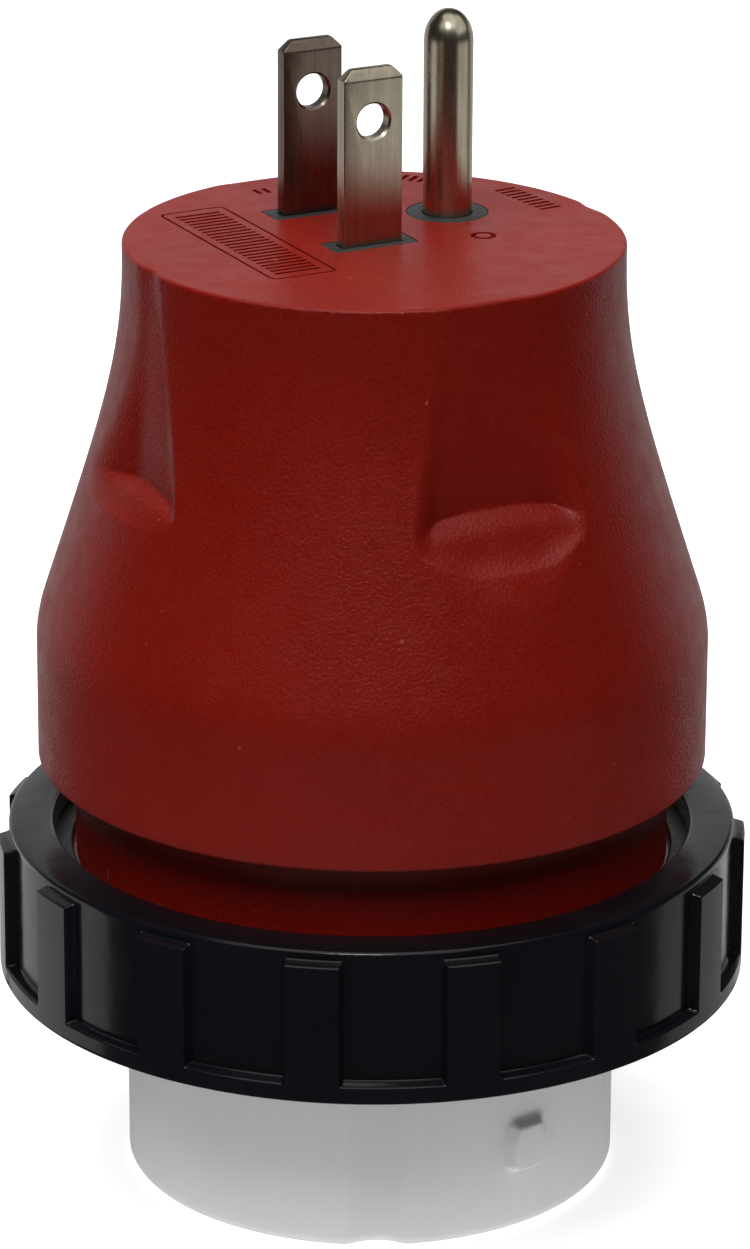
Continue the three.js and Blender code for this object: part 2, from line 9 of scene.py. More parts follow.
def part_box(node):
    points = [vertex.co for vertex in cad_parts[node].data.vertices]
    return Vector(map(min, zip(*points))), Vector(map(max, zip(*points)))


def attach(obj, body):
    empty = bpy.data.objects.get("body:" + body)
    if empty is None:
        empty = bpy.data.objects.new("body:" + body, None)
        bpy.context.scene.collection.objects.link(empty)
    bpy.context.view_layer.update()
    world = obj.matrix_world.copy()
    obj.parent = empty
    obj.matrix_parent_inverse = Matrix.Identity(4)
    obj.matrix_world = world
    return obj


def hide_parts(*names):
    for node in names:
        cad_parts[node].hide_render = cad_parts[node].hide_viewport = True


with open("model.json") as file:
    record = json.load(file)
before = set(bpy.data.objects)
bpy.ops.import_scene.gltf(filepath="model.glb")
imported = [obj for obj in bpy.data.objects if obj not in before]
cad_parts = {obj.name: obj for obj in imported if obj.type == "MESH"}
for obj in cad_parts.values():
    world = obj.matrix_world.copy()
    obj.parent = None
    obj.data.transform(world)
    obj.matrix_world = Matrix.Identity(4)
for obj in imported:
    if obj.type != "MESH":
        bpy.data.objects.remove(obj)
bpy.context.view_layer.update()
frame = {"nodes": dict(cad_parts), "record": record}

# Looks of the moulded power adapter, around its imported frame. The frame is in metres; the shape
# functions below work in millimetres, and MM turns one into the other. Z runs up through the prongs,
# and angles are in degrees about Z, counted from +X.

MM = 0.001


def cad_mm(node):
    """A CAD node's lowest and highest corners, in millimetres."""
    low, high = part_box(node)
    return low / MM, high / MM


def middle(node):
    """The centre of a CAD node in plan, in millimetres."""
    low, high = cad_mm(node)
    return (low.x + high.x) / 2, (low.y + high.y) / 2


# ---------------------------------------------------------------- sizes in millimetres, angles in degrees

GRIP_LOW, GRIP_HIGH = cad_mm("overmold_body")
RING_LOW, RING_HIGH = cad_mm("locking_ring")
BARREL_LOW, BARREL_HIGH = cad_mm("connector_barrel")
BRIDGE_LOW = cad_mm("plug_bridge")[0]

FACE_Z = GRIP_HIGH.z
FACE_RADIUS = 24.4
FACE_EDGE = 0.35
GRIP_BOTTOM_Z = FACE_Z - 36
GRIP_BOTTOM_RADIUS = 32.35
SKIRT_TOP_Z = FACE_Z - 40.5
SKIRT_TANGENT_Z = FACE_Z - 38.4
SKIRT_BOTTOM_Z = FACE_Z - 52.6
SKIRT_RADIUS = GRIP_HIGH.x
SKIRT_EDGE = 0.4
FLARE_LOWER = (25.95, FACE_Z - 16.3)
FLARE_UPPER = (24.25, FACE_Z - 11)
NECK_RADIUS = 29.5
NECK_FILLET = 0.7
CHAMBER = ((25.6, GRIP_LOW.z), (25.6, FACE_Z - 38), (18.2, FACE_Z - 22), (18.2, FACE_Z - 7))

# The four finger scoops. The route holds the control points of the shelf's curve, each a depth below
# the end of the floor and how far out the shelf is there. The SIDE values are for the two scoops on
# the X axis: some replace the plain ones, and the ledge and the crest multiply them.
SCOOP_STEP = 90
SCOOP_FLOOR_TOP = 24.05
SCOOP_FLOOR = 24.4
SCOOP_FLOOR_END_Z = FACE_Z - 20.7
SCOOP_CROWN = 0.013
SCOOP_HALF_WIDTH = 7.7
SCOOP_NARROWING = 0.17
SCOOP_WALL_SLOPE = 2.0
SCOOP_WALL_FADE = 9.0
SCOOP_WALL_ROUND = 1.2
SCOOP_CORNER_ROUND = 0.8
SCOOP_CREST_ROUND = 1.0
SCOOP_CREST_GROWTH = 0.3
SCOOP_LEDGE_ROUTE = ((0, 0), (0.4, 2.6), (3.5, 1.5), (4.8, 4.6))
SCOOP_LEDGE_CURVE = 7.6
SCOOP_REACH = 10
SIDE_SCOOP_LEDGE = 1.75
SIDE_SCOOP_LEDGE_CURVE = 10.5
SIDE_SCOOP_DROP = 0.4
SIDE_SCOOP_FLOOR = 25.4
SIDE_SCOOP_HALF_WIDTH = 8.8
SIDE_SCOOP_NARROWING = 0.34
SIDE_SCOOP_CREASE = 0.26
SIDE_SCOOP_CREST = 0.7
SCOOP_WALL_ANGLES = (6, 22)

MARK_DEPTH = 0.35
PANEL_LEFT, PANEL_RIGHT = -15.2, -8.2
PANEL_NEAR, PANEL_FAR = -8.4, 16.6
PANEL_CORNER = 0.8
PANEL_GROOVE = 0.28
PANEL_END_CLEARANCE = 0.9
PANEL_SIDE_CLEARANCE = 1.1
BAR_WIDTH = 0.5
BAR_PITCH = 0.98
SMALL_BARS = ((9, (20.0, 5.6), 96, 2.4), (4, (13.0, 17.5), 128, 2.0), (2, (-2.3, 19.7), 0, 1.7))
RING_MARK_CENTRE = (9.8, -4.0)
RING_MARK_OUTER, RING_MARK_INNER = 1.25, 0.75

BRIDGE_RADIUS = 17.8
BRIDGE_TOP_Z = FACE_Z - 7
BRIDGE_EDGE = 0.4
PAD_WIDTH = 8.9
PAD_THICKNESS = 3.6
PAD_CORNER = 0.35
PAD_EDGE = 0.12
PAD_ROOT = 2
PAD_GAP = 0.06
PIN_PAD_RADIUS = 4.0
PRONG_GAP = 0.12
PRONG_SLOT_CORNER = 0.3
BLADE_HOLE_RADIUS = 1.7
BLADE_HOLE_Z = FACE_Z + 12.2
BLADE_HOLE_SINK = 0.22
BLADE_CORNER = 0.16
BLADE_CORNER_CUT = 1.0
BLADE_TIP_THICKNESS = 0.8
BLADE_TIP_CHAMFER = 1.15
BLADE_TIP_EDGE = 0.12
BLADE_TIP_DEPTHS = (BLADE_TIP_CHAMFER, BLADE_CORNER_CUT, 0.7, 0.35, 0.1)
BLADE_TAIL_WIDTH = 3.2
PIN_RADIUS = 2.415
PIN_TAIL_RADIUS = 1.2
PIN_TAIL_EDGE = 0.2
PIN_NOSE = 3.1
PIN_NOSE_EDGE = 0.4
PIN_NOSE_STEPS = 14
PIN_POINT_RADIUS = 0.02

BARREL_RADIUS = 24.5
BARREL_EDGE = 1.1
SHOULDER_RADIUS = BARREL_HIGH.x
SHOULDER_Z = BARREL_HIGH.z - 4
SHOULDER_EDGE = 0.3
COVER_RECESS_RADIUS = 22
COVER_BOTTOM_Z = BARREL_HIGH.z - 5
KEYWAY_ANGLE = -116
KEYWAY_WIDTH = 5.6
KEYWAY_DEPTH = 1.1
KEYWAY_ROUND = 0.5
BOSS_ANGLE = -79
BOSS_HALF_WIDTH = 2.45
BOSS_BOTTOM_Z = 6.2
BOSS_TOP_Z = 12.3
BOSS_HEIGHT = 1.0
BOSS_CORNER = 1.2
BOSS_RUN = 0.6
BOSS_TOP_RUN = 1.0
SLOT_RADIUS = 15.3
SLOT_WIDTH = 2.4
SLOT_HALF_ANGLE = 23
SLOT_DEPTH = 3.5
SLOT_LEAD_IN = 0.35
SLOT_ANGLES = (34, 146, -90)
NEUTRAL_KEY_REACH = 1.6
NEUTRAL_KEY_ANGLE = 8
CAVITY_WIDTH = 5.6
CAVITY_HALF_ANGLE = 28
CLIP_ANGLE = 64
CLIP_WIDTH = 7
CLIP_THICKNESS = 0.9
CLIP_INNER_RADIUS = 23.2
CLIP_BOW = 0.9
CLIP_BOTTOM_Z = 4.6
CLIP_BOW_TOP_Z = 23.4
CLIP_TAB_INNER_RADIUS = 15.6
CLIP_TAB_Z = BARREL_HIGH.z + 0.4
CLIP_TAB_THICKNESS = 1.2
CLIP_SCREW_RADIUS = 17.8
CLIP_SCREW_HOLE = 1.8
CLIP_BEND = 0.9
CLIP_EDGE = 0.15
FITTING_GAP = 0.3

RING_RADIUS = RING_HIGH.x
RING_PANEL_RADIUS = 36.2
RING_BORE_RADIUS = 31.7
RING_LIP_THICKNESS = 2.4
RING_BAND_HEIGHT = 2.0
RING_RIB_TOP_GAP = 1.1
RING_EDGE = 0.45
RIB_COUNT = 15
RIB_STEP = 360 / RIB_COUNT
RIB_HALF_ANGLE = 4.3
RIB_SIDE_ANGLE = 0.5
RIB_FIRST_ANGLE = -6.3
RIB_WALL = 0.42

# The thread's ridge and flanks are shares of its pitch.
THREAD_ROOT_RADIUS = 33.9
THREAD_CREST_RADIUS = 33.1
THREAD_PITCH = 3.4
THREAD_BOTTOM = 0.9
THREAD_TURNS = 2
THREAD_RIDGE_FROM, THREAD_RIDGE_TO = 0.12, 0.8
THREAD_FLANK = 0.22
THREAD_RUN_OUT = 0.6

WASHER_BORE_RADIUS = 29.9
WASHER_EDGE = 0.18
GASKET_BORE_RADIUS = 24.9
GASKET_LOWER_EDGE, GASKET_UPPER_EDGE = 0.2, 0.15
BEAD_HEIGHT = 0.25
BEAD_HALF_WIDTH = 0.6
BEAD_INSET = 2.3

# How finely round shapes are divided, and how far a cutter reaches past what it cuts.
EDGE_STEPS = 3
CORNER_STEPS = 4
BEAD_STEPS = 8
ARC_STEPS = 24
BOW_STEPS = 40
LEDGE_STEPS = 60
CURVE_STEPS = 300
BARREL_COLUMNS = 540
RING_COLUMNS = 240
PRONG_COLUMNS = 96
PIN_HOLE_COLUMNS = 72
BLADE_HOLE_COLUMNS = 64
PAST = 1
CREASE_ANGLE = radians(35)


# ---------------------------------------------------------------- mesh tools

def new_piece(name, points, faces):
    """A mesh object from points in millimetres."""
    mesh = bpy.data.meshes.new(name)
    mesh.from_pydata((np.asarray(points) * MM).tolist(), [], faces)
    mesh.validate()
    piece = bpy.data.objects.new(name, mesh)
    bpy.context.scene.collection.objects.link(piece)
    return piece


def turned(name, radii, heights, angles, loop=False, centre=(0, 0)):
    """A surface round Z through rows of radii and heights, with a value for each angle. The rows run up
    the outside. A loop joins the last row to the first, and otherwise flat ends close it."""
    radii, heights = np.broadcast_arrays(radii, heights)
    rows, columns = radii.shape
    turn = np.radians(angles)
    x = radii * np.cos(turn) + centre[0]
    y = radii * np.sin(turn) + centre[1]
    index = np.arange(rows * columns).reshape(rows, columns)
    following = np.roll(index, -1, axis=0)
    last = rows if loop else rows - 1
    low, high = index[:last], following[:last]
    low_next, high_next = np.roll(low, -1, axis=1), np.roll(high, -1, axis=1)
    faces = np.stack([low, low_next, high_next, high], axis=-1).reshape(-1, 4).tolist()
    if not loop:
        faces += [index[0][::-1].tolist(), index[-1].tolist()]
    return new_piece(name, np.stack([x, y, heights], axis=-1).reshape(-1, 3), faces)


def lathe(name, profile, columns, loop=False, centre=(0, 0)):
    """A solid of revolution from (radius, height) pairs that run up its outside."""
    profile = np.array(profile, float)
    angles = np.arange(columns) * 360 / columns
    radii = np.repeat(profile[:, :1], columns, axis=1)
    return turned(name, radii, profile[:, 1:], angles, loop, centre)


def stack(name, layers):
    """A closed body through outlines that have the same number of points, each at a height."""
    points = [[x, y, z] for outline, z in layers for x, y in outline]
    count = len(layers[0][0])
    faces = [list(range(count))[::-1], list(range(count * (len(layers) - 1), count * len(layers)))]
    for layer in range(len(layers) - 1):
        start = layer * count
        for step in range(count):
            after = (step + 1) % count
            faces.append([start + step, start + after, start + count + after, start + count + step])
    return new_piece(name, points, faces)


def quarter(steps):
    """1 - cos and 1 - sin of angles from 0 to 90 degrees, for a rounded edge."""
    turns = [radians(90 * step / steps) for step in range(steps + 1)]
    return [(1 - cos(turn), 1 - sin(turn)) for turn in turns]


def plate(name, outline, low, high, edge=0.0):
    """An extruded outline, with rounded edges at both ends if edge is above 0."""
    layers = [(edge * inset, low + edge * rise) for rise, inset in quarter(EDGE_STEPS)]
    if edge == 0:
        layers = layers[:1]
    layers += [(inset, low + high - level) for inset, level in reversed(layers)]
    return stack(name, [(shrunk(outline, inset), level) for inset, level in layers])


def shrunk(outline, distance):
    """An anticlockwise outline moved inwards by a distance, with mitred corners."""
    points = np.array(outline, float)
    along = np.roll(points, -1, axis=0) - points
    along /= np.linalg.norm(along, axis=1, keepdims=True)
    inward = np.stack([-along[:, 1], along[:, 0]], axis=1)
    before = np.roll(inward, 1, axis=0)
    mitre = (before + inward) / (1 + (before * inward).sum(axis=1, keepdims=True))
    return points + mitre * distance


def rounded_rectangle(width, depth, corner, centre=(0, 0)):
    """An anticlockwise rectangle with round corners."""
    points = []
    for number, (side_x, side_y) in enumerate(((1, -1), (1, 1), (-1, 1), (-1, -1))):
        corner_x = centre[0] + side_x * (width / 2 - corner)
        corner_y = centre[1] + side_y * (depth / 2 - corner)
        for step in range(CORNER_STEPS + 1):
            turn = radians(90 * (number - 1 + step / CORNER_STEPS))
            points.append((corner_x + corner * cos(turn), corner_y + corner * sin(turn)))
    return points


def circle(radius, centre=(0, 0), steps=48):
    """An anticlockwise circle."""
    turns = [radians(360 * step / steps) for step in range(steps)]
    return [(centre[0] + radius * cos(turn), centre[1] + radius * sin(turn)) for turn in turns]


def sector(inner, outer, start, end):
    """An anticlockwise piece of a ring between two radii and two angles."""
    turns = np.radians(np.linspace(start, end, ARC_STEPS))
    far = [(outer * cos(turn), outer * sin(turn)) for turn in turns]
    near = [(inner * cos(turn), inner * sin(turn)) for turn in turns[::-1]]
    return far + near


def radial_box(inner, outer, width, angle):
    """An anticlockwise rectangle along a radius, turned to an angle."""
    turn = radians(angle)
    corners = ((inner, -width / 2), (outer, -width / 2), (outer, width / 2), (inner, width / 2))
    return [(x * cos(turn) - y * sin(turn), x * sin(turn) + y * cos(turn)) for x, y in corners]


def settle(piece):
    """Applies a piece's modifiers to its mesh."""
    graph = bpy.context.evaluated_depsgraph_get()
    mesh = bpy.data.meshes.new_from_object(piece.evaluated_get(graph))
    worn = piece.data
    piece.modifiers.clear()
    piece.data = mesh
    bpy.data.meshes.remove(worn)
    return piece


def combine(piece, operation, others):
    """Cuts the others out of a piece, or joins them to it, and removes them."""
    for other in others:
        modifier = piece.modifiers.new("combine", "BOOLEAN")
        modifier.operation = operation
        modifier.solver = "EXACT"
        modifier.object = other
        settle(piece)
        bpy.data.objects.remove(other)
    return piece


def joined(name, pieces):
    """Several meshes that don't touch, as one."""
    points, faces = [], []
    for piece in pieces:
        start = len(points)
        points += [vertex.co / MM for vertex in piece.data.vertices]
        faces += [[start + corner for corner in face.vertices] for face in piece.data.polygons]
        bpy.data.objects.remove(piece)
    return new_piece(name, points, faces)


def place(piece, body, slot, material, *nodes):
    """Gives a finished piece its material and its body, and hides the nodes that it stands for. The slot is
    not used.
    """
    piece.data.materials.clear()
    piece.data.materials.append(material)
    piece.data.shade_smooth()
    piece.data.set_sharp_from_angle(angle=CREASE_ANGLE)
    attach(piece, body)
    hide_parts(*nodes)
    return piece


def smooth_step(value):
    """0 below 0, 1 above 1, and a smooth rise between."""
    value = np.clip(value, 0, 1)
    return value * value * (3 - 2 * value)


def smooth_least(first, second, blend):
    """The lesser of two values, rounded where they cross."""
    near = np.maximum(blend - np.abs(first - second), 0) / blend
    return np.minimum(first, second) - near * near * blend / 4


def smooth_most(first, second, blend):
    """The greater of two values, rounded where they cross."""
    return -smooth_least(-first, -second, blend)


def spaced(start, end, step):
    """Even values from start to just before end, about a step apart. They set how fine a mesh is: the
    rows' steps are in millimetres and the columns' in degrees."""
    return list(np.linspace(start, end, max(1, round(abs(end - start) / step)), endpoint=False))


# ---------------------------------------------------------------- red grip

def bezier(start, first, second, end, values):
    """Points along a cubic curve."""
    return [
        (1 - t) ** 3 * np.array(start) + 3 * t * (1 - t) ** 2 * np.array(first)
        + 3 * t * t * (1 - t) * np.array(second) + t ** 3 * np.array(end)
        for t in values
    ]


def grip_radius(heights):
    """The grip's outside radius at each height, before the scoops."""
    samples = np.linspace(0, 1, CURVE_STEPS)
    skirt = (SKIRT_RADIUS, SKIRT_TOP_Z)
    tangent = (SKIRT_RADIUS, SKIRT_TANGENT_Z)
    bottom = (GRIP_BOTTOM_RADIUS, GRIP_BOTTOM_Z)
    shoulder = [
        (1 - t) ** 2 * np.array(skirt) + 2 * t * (1 - t) * np.array(tangent) + t * t * np.array(bottom)
        for t in samples
    ]
    flare = bezier(bottom, FLARE_LOWER, FLARE_UPPER, (FACE_RADIUS, FACE_Z), samples)
    outline = np.array(shoulder + flare[1:])
    return np.interp(heights, outline[:, 1], outline[:, 0])


def scooped(radius, angles, height):
    """A radius at a height, pressed in where the finger scoops are. A scoop has a flat floor that
    narrows upwards, walls that soften upwards, and a rounded shelf below it that ends in a soft lip.
    The scoops on the X axis are wider and shallower, with a shorter shelf, and half of their floor is
    turned outwards along a crease."""
    if height < SCOOP_FLOOR_END_Z - SCOOP_REACH:
        return radius * np.ones(len(angles))
    scoop = np.floor(angles / SCOOP_STEP + 0.5)
    from_middle = np.radians(angles - scoop * SCOOP_STEP)
    on_x = scoop % 2 == 0
    across = radius * np.sin(from_middle)
    end_z = SCOOP_FLOOR_END_Z - SCOOP_CROWN * across ** 2 - SIDE_SCOOP_DROP * on_x
    above = np.maximum(height - end_z, 0)
    floor_low = np.where(on_x, SIDE_SCOOP_FLOOR, SCOOP_FLOOR)
    lean = (SCOOP_FLOOR_TOP - floor_low) / (FACE_Z - SCOOP_FLOOR_END_Z)
    half_width = np.where(
        on_x,
        SIDE_SCOOP_HALF_WIDTH - SIDE_SCOOP_NARROWING * above,
        SCOOP_HALF_WIDTH - SCOOP_NARROWING * above,
    )
    wall_slope = SCOOP_WALL_SLOPE / (1 + above / SCOOP_WALL_FADE)
    wall = wall_slope * smooth_most(np.abs(across) - half_width, 0, SCOOP_WALL_ROUND)
    depth = smooth_most(end_z - height, 0, SCOOP_CORNER_ROUND) * np.where(on_x, SIDE_SCOOP_LEDGE, 1)
    depth *= 1 + (across / np.where(on_x, SIDE_SCOOP_LEDGE_CURVE, SCOOP_LEDGE_CURVE)) ** 4
    route = np.array(bezier(*SCOOP_LEDGE_ROUTE, np.linspace(0, 1, LEDGE_STEPS)))
    shelf = np.interp(depth, route[:, 0], route[:, 1]) + np.maximum(depth - route[-1, 0], 0)
    turned_out = SIDE_SCOOP_CREASE * smooth_most(-across, 0, SCOOP_CREST_ROUND) * on_x
    floor = floor_low + lean * above + np.hypot(np.hypot(wall, shelf), turned_out)
    crest = SCOOP_CREST_ROUND + SCOOP_CREST_GROWTH * (radius - floor_low)
    crest = crest * np.where(on_x, SIDE_SCOOP_CREST, 1)
    return smooth_least(radius, floor / np.cos(from_middle), crest)


def grip_angles():
    """The angles of the grip's columns, close together at the walls of the scoops."""
    half, (near, far) = SCOOP_STEP / 2, SCOOP_WALL_ANGLES
    period = np.array(
        spaced(-half, -far, 1.3) + spaced(-far, -near, 0.27) + spaced(-near, near, 0.8)
        + spaced(near, far, 0.27) + spaced(far, half, 1.3)
    )
    return np.concatenate([scoop * SCOOP_STEP + period for scoop in range(360 // SCOOP_STEP)])


def grip_surface():
    """The whole outside and chamber of the grip as one closed surface."""
    angles = grip_angles()
    even = np.ones(len(angles))
    rows = [(radius * even, z) for radius, z in reversed(CHAMBER)]
    rows.append((NECK_RADIUS * even, GRIP_LOW.z))
    for out, down in quarter(4):
        rows.append(((NECK_RADIUS + NECK_FILLET * out) * even, SKIRT_BOTTOM_Z - NECK_FILLET * down))
    for up, inward in quarter(6):
        rows.append(((SKIRT_RADIUS - SKIRT_EDGE * inward) * even, SKIRT_BOTTOM_Z + SKIRT_EDGE * up))
    lip_z, above_ledge = SCOOP_FLOOR_END_Z - SCOOP_REACH, SCOOP_FLOOR_END_Z + 0.6
    heights = spaced(SKIRT_BOTTOM_Z + SKIRT_EDGE + 1, SKIRT_TOP_Z, 1.5) + spaced(SKIRT_TOP_Z, lip_z, 0.6)
    heights += spaced(lip_z, above_ledge, 0.13) + spaced(above_ledge, FACE_Z - FACE_EDGE, 0.35)
    for z, radius in zip(heights, grip_radius(heights)):
        rows.append((scooped(radius, angles, z), z))
    rim = scooped(FACE_RADIUS, angles, FACE_Z)
    rows += [(rim - FACE_EDGE * inward, FACE_Z - FACE_EDGE * down) for inward, down in quarter(5)]
    rows.append((rim - 2 * FACE_EDGE, FACE_Z))
    heights = np.array([[z] for _, z in rows])
    return turned("grip_moulding", np.array([radii for radii, _ in rows]), heights, angles)


def mark(outline, island=None):
    """A cutter for a mark in the plug face. Inside the island the face stays whole."""
    cutter = plate("mark", outline, FACE_Z - MARK_DEPTH, FACE_Z + PAST)
    if island is not None:
        combine(cutter, "DIFFERENCE", [plate("island", island, FACE_Z - PAST, FACE_Z + 2 * PAST)])
    return cutter


def bars(count, centre, direction, length):
    """A row of plain bars, side by side along a direction in degrees."""
    turn = radians(direction)
    along = Vector((cos(turn), sin(turn)))
    across = Vector((-along.y, along.x))
    made = []
    for number in range(count):
        place_on_row = Vector(centre) + along * BAR_PITCH * (number - (count - 1) / 2)
        corners = [
            place_on_row + along * side * BAR_WIDTH / 2 + across * end * length / 2
            for side, end in ((1, -1), (1, 1), (-1, 1), (-1, -1))
        ]
        made.append(mark(corners))
    return made


def face_marks():
    """The moulded marks of the plug face: a bordered row of bars, smaller rows round it, and a ring."""
    centre = ((PANEL_LEFT + PANEL_RIGHT) / 2, (PANEL_NEAR + PANEL_FAR) / 2)
    width, length = PANEL_RIGHT - PANEL_LEFT, PANEL_FAR - PANEL_NEAR
    inside = (width - 2 * PANEL_GROOVE, length - 2 * PANEL_GROOVE, PANEL_CORNER - PANEL_GROOVE)
    pieces = [
        mark(rounded_rectangle(width, length, PANEL_CORNER, centre), rounded_rectangle(*inside, centre)),
        mark(circle(RING_MARK_OUTER, RING_MARK_CENTRE), circle(RING_MARK_INNER, RING_MARK_CENTRE)),
    ]
    count = int((length - 2 * PANEL_END_CLEARANCE) / BAR_PITCH)
    for row in ((count, centre, 90, width - 2 * PANEL_SIDE_CLEARANCE), *SMALL_BARS):
        pieces += bars(*row)
    return joined("face_marks", pieces)


def prong_plates(name, blade_outline, pin_radius, low, high, edge=0.0):
    """Three plates round the prongs' places in the face, for pads or for holes."""
    outlines = [blade_outline(middle("hot_blade")), blade_outline(middle("neutral_blade"))]
    outlines.append(circle(pin_radius, middle("ground_pin"), PIN_HOLE_COLUMNS))
    return [plate(name, outline, low, high, edge) for outline in outlines]


def make_grip(material):
    """The red moulding, with holes for the insert's pads and the marks in its face."""
    grip = grip_surface()
    holes = prong_plates(
        "hole", lambda centre: pad_outline(centre, PAD_GAP), PIN_PAD_RADIUS + PAD_GAP,
        BRIDGE_TOP_Z - PAST, FACE_Z + PAST,
    )
    combine(grip, "DIFFERENCE", holes + [face_marks()])
    return place(grip, "adapter", "red_vinyl", material, "overmold_body")


# ---------------------------------------------------------------- plug insert and prongs

def pad_outline(centre, grown=0.0):
    """The outline of a blade's pad, or of the hole round it."""
    return rounded_rectangle(PAD_WIDTH + 2 * grown, PAD_THICKNESS + 2 * grown, PAD_CORNER + grown, centre)


def make_insert(material):
    """The dark insert that holds the prongs: a disc with three pads that reach the face."""
    blade_low, blade_high = cad_mm("hot_blade")
    disc = circle(BRIDGE_RADIUS, steps=PRONG_COLUMNS)
    insert = plate("prong_insert", disc, BRIDGE_LOW.z, BRIDGE_TOP_Z, BRIDGE_EDGE)
    pads = prong_plates("pad", pad_outline, PIN_PAD_RADIUS, BRIDGE_TOP_Z - PAD_ROOT, FACE_Z, PAD_EDGE)
    combine(insert, "UNION", pads)
    width = blade_high.x - blade_low.x + 2 * PRONG_GAP
    thickness = blade_high.y - blade_low.y + 2 * PRONG_GAP
    slots = prong_plates(
        "slot", lambda centre: rounded_rectangle(width, thickness, PRONG_SLOT_CORNER, centre),
        PIN_RADIUS + PRONG_GAP, BRIDGE_LOW.z - PAST, FACE_Z + PAST,
    )
    combine(insert, "DIFFERENCE", slots)
    return place(insert, "adapter", "dark_nylon", material, "plug_bridge")


def make_blade(name, node, material):
    """A blade with a chamfered tip, cut corners and a countersunk hole."""
    low, high = cad_mm(node)
    centre = middle(node)
    width, thickness = high.x - low.x, high.y - low.y

    def section(section_width, section_thickness, z):
        return rounded_rectangle(section_width, section_thickness, BLADE_CORNER, centre), z

    layers = [
        section(BLADE_TAIL_WIDTH, thickness, low.z),
        section(BLADE_TAIL_WIDTH, thickness, BRIDGE_LOW.z),
        section(width, thickness, BRIDGE_LOW.z),
        section(width, thickness, high.z - BLADE_TIP_CHAMFER - BLADE_TIP_EDGE),
    ]
    for depth in BLADE_TIP_DEPTHS:
        narrowed = 2 * max(0, BLADE_CORNER_CUT - depth)
        thinned = (thickness - BLADE_TIP_THICKNESS) * (1 - depth / BLADE_TIP_CHAMFER)
        layers.append(section(width - narrowed, thickness - thinned, high.z - depth))
    tip_width = width - 2 * BLADE_CORNER_CUT
    layers.append(section(tip_width - BLADE_CORNER, BLADE_TIP_THICKNESS - BLADE_CORNER, high.z))
    blade = stack(name, layers)
    half, past = thickness / 2, PAST / 2
    hole = lathe("hole", [
        (BLADE_HOLE_RADIUS + BLADE_HOLE_SINK + past, -half - past),
        (BLADE_HOLE_RADIUS, -half + BLADE_HOLE_SINK),
        (BLADE_HOLE_RADIUS, half - BLADE_HOLE_SINK),
        (BLADE_HOLE_RADIUS + BLADE_HOLE_SINK + past, half + past),
    ], BLADE_HOLE_COLUMNS)
    hole.data.transform(Matrix.Rotation(radians(90), 4, "X"))
    hole.data.transform(Matrix.Translation(Vector((*centre, BLADE_HOLE_Z)) * MM))
    combine(blade, "DIFFERENCE", [hole])
    return place(blade, "adapter", "nickel", material, node)


def make_pin(material):
    """The round pin, with a bullet nose."""
    low, high = cad_mm("ground_pin")
    profile = [
        (PIN_TAIL_RADIUS - PIN_TAIL_EDGE, low.z), (PIN_TAIL_RADIUS, low.z + PIN_TAIL_EDGE),
        (PIN_TAIL_RADIUS, BRIDGE_LOW.z), (PIN_RADIUS, BRIDGE_LOW.z),
        (PIN_RADIUS, high.z - PIN_NOSE - PIN_NOSE_EDGE),
    ]
    for step in range(PIN_NOSE_STEPS):
        turn = radians(90 * step / PIN_NOSE_STEPS)
        profile.append((PIN_RADIUS * cos(turn), high.z - PIN_NOSE + PIN_NOSE * sin(turn)))
    profile.append((PIN_POINT_RADIUS, high.z))
    pin = lathe("round_prong", profile, PRONG_COLUMNS, centre=middle("ground_pin"))
    return place(pin, "adapter", "nickel", material, "ground_pin")


# ---------------------------------------------------------------- locking ring, washer and gasket

def rib_angles():
    """The angles of the ring's columns, close together at the sides of the ribs."""
    inside, outside = RIB_HALF_ANGLE - RIB_SIDE_ANGLE, RIB_HALF_ANGLE + RIB_SIDE_ANGLE
    half = RIB_STEP / 2
    period = np.array(
        spaced(-half, -outside, 1.1) + spaced(-outside, -inside, 0.1) + spaced(-inside, inside, 1.0)
        + spaced(inside, outside, 0.1) + spaced(outside, half, 1.1)
    )
    return np.concatenate([RIB_FIRST_ANGLE + rib * RIB_STEP + period for rib in range(RIB_COUNT)])


def ribbed_radius(angles, height):
    """The ring's outside radius: plain panels, with the ribs and the bottom band standing out."""
    from_rib = np.abs((angles - RIB_FIRST_ANGLE + RIB_STEP / 2) % RIB_STEP - RIB_STEP / 2)
    to_side = (RIB_HALF_ANGLE - from_rib) * radians(1) * RING_RADIUS
    rib_top = RING_HIGH.z - RING_RIB_TOP_GAP
    rib = smooth_step(to_side / RIB_WALL + 0.5) * smooth_step((rib_top - height) / RIB_WALL + 0.5)
    band = smooth_step((RING_LOW.z + RING_BAND_HEIGHT - height) / RIB_WALL + 0.5)
    proud = 1 - (1 - rib) * (1 - band)
    return RING_PANEL_RADIUS + (RING_RADIUS - RING_PANEL_RADIUS) * proud


def thread_radius(angles, height):
    """The radius of the threaded bore, where a ridge winds up like a screw."""
    start = RING_LOW.z + THREAD_BOTTOM
    length = THREAD_TURNS * THREAD_PITCH
    turn = ((height - start) / THREAD_PITCH - angles / 360) % 1
    ridge = smooth_step((turn - THREAD_RIDGE_FROM) / THREAD_FLANK)
    ridge = ridge * smooth_step((THREAD_RIDGE_TO - turn) / THREAD_FLANK)
    within = smooth_step((height - start) / THREAD_RUN_OUT)
    within = within * smooth_step((start + length - height) / THREAD_RUN_OUT)
    return THREAD_ROOT_RADIUS - (THREAD_ROOT_RADIUS - THREAD_CREST_RADIUS) * ridge * within


